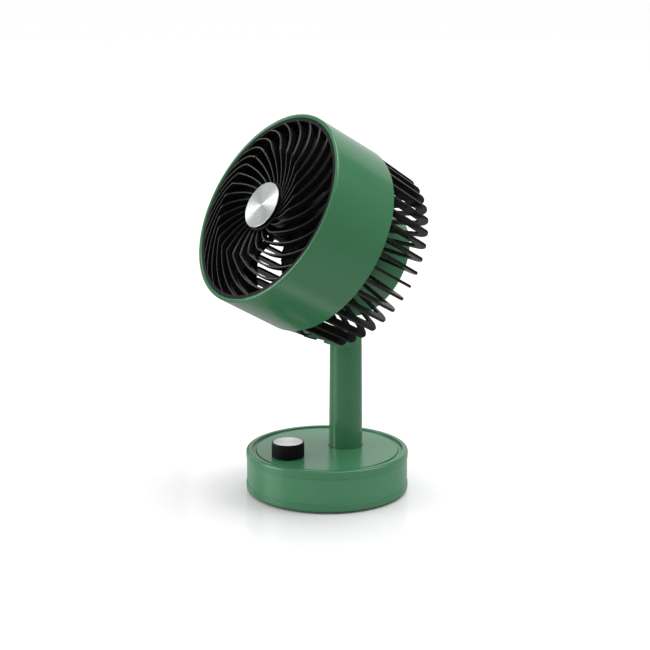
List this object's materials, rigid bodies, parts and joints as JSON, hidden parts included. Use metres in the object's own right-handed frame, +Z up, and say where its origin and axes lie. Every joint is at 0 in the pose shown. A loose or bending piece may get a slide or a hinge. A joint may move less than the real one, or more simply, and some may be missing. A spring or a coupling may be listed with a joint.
{
  "type": "desk fan",
  "caption": "Small desk fan: weighted round base with a speed knob, a column, and a tilting tubular head with a swirl grille, open rear fins and an impeller that spins.",
  "frame": {"origin": "centre of the underside of the base, where it meets the table", "axes": "+Z up; -Y is the way the fan blows; +X is to the right when the fan is seen from in front"},
  "size_m": [0.144, 0.1502, 0.2787],
  "materials": {
    "green_shell": "satin sheen",
    "green_base": "satin sheen",
    "black_grille": "satin",
    "dark_plastic": "satin",
    "silver_trim": "brushed",
    "knob_black": "satin",
    "zinc_steel": "satin",
    "ballast_steel": "raw",
    "cast_alloy": "as cast",
    "copper_winding": "enamelled",
    "circuit_board": "solder mask",
    "foot_rubber": "matt",
    "washer_plastic": "matt"
  },
  "bodies": {
    "base": {"foot_pad": "foot_rubber", "base_pan": "green_base", "ballast": "ballast_steel", "base_housing": "green_base", "base_rim": "green_base", "base_disc": "green_base", "base_screws": "zinc_steel", "ballast_screws": "zinc_steel", "disc_screws": "zinc_steel", "control_board": "circuit_board", "board_screws": "zinc_steel", "speed_control": "dark_plastic", "control_nut": "zinc_steel", "power_inlet": "zinc_steel", "inlet_board": "circuit_board", "column_foot": "cast_alloy", "foot_screws": "zinc_steel", "tie_rod": "zinc_steel", "tie_nut": "zinc_steel", "column": "green_shell", "neck": "green_shell", "neck_plug": "knob_black", "friction_washers": "washer_plastic"},
    "knob": {"control_shaft": "zinc_steel", "knob": "knob_black", "knob_cap": "silver_trim"},
    "head": {"barrel": "green_shell", "front_grille": "black_grille", "centre_cap": "silver_trim", "rear_grille": "black_grille", "ring_screws": "zinc_steel", "motor_housing": "green_shell", "motor_plate": "cast_alloy", "housing_screws": "zinc_steel", "stator": "copper_winding", "shaft_bearings": "zinc_steel", "hinge_bracket": "dark_plastic", "bracket_screws": "zinc_steel", "hinge_pin": "zinc_steel", "hinge_nut": "zinc_steel"},
    "impeller": {"motor_shaft": "zinc_steel", "rotor": "zinc_steel", "impeller": "dark_plastic", "impeller_nut": "zinc_steel"}
  },
  "joints": [
    {"name": "knob_turn", "type": "hinge", "parent": "base", "child": "knob", "pos_m": [0, -0.0348, 0.0365], "axis": [0, 0, -1], "range_deg": [0, 270]},
    {"name": "head_tilt", "type": "hinge", "parent": "base", "child": "head", "pos_m": [0, -0.0296, 0.1303], "axis": [-1, 0, 0], "range_deg": [-29.2, 9]},
    {"name": "impeller_spin", "type": "hinge", "parent": "head", "child": "impeller", "pos_m": [0, -0.0527, 0.2164], "axis": [0, -0.8729, 0.4879], "continuous": true}
  ]
}
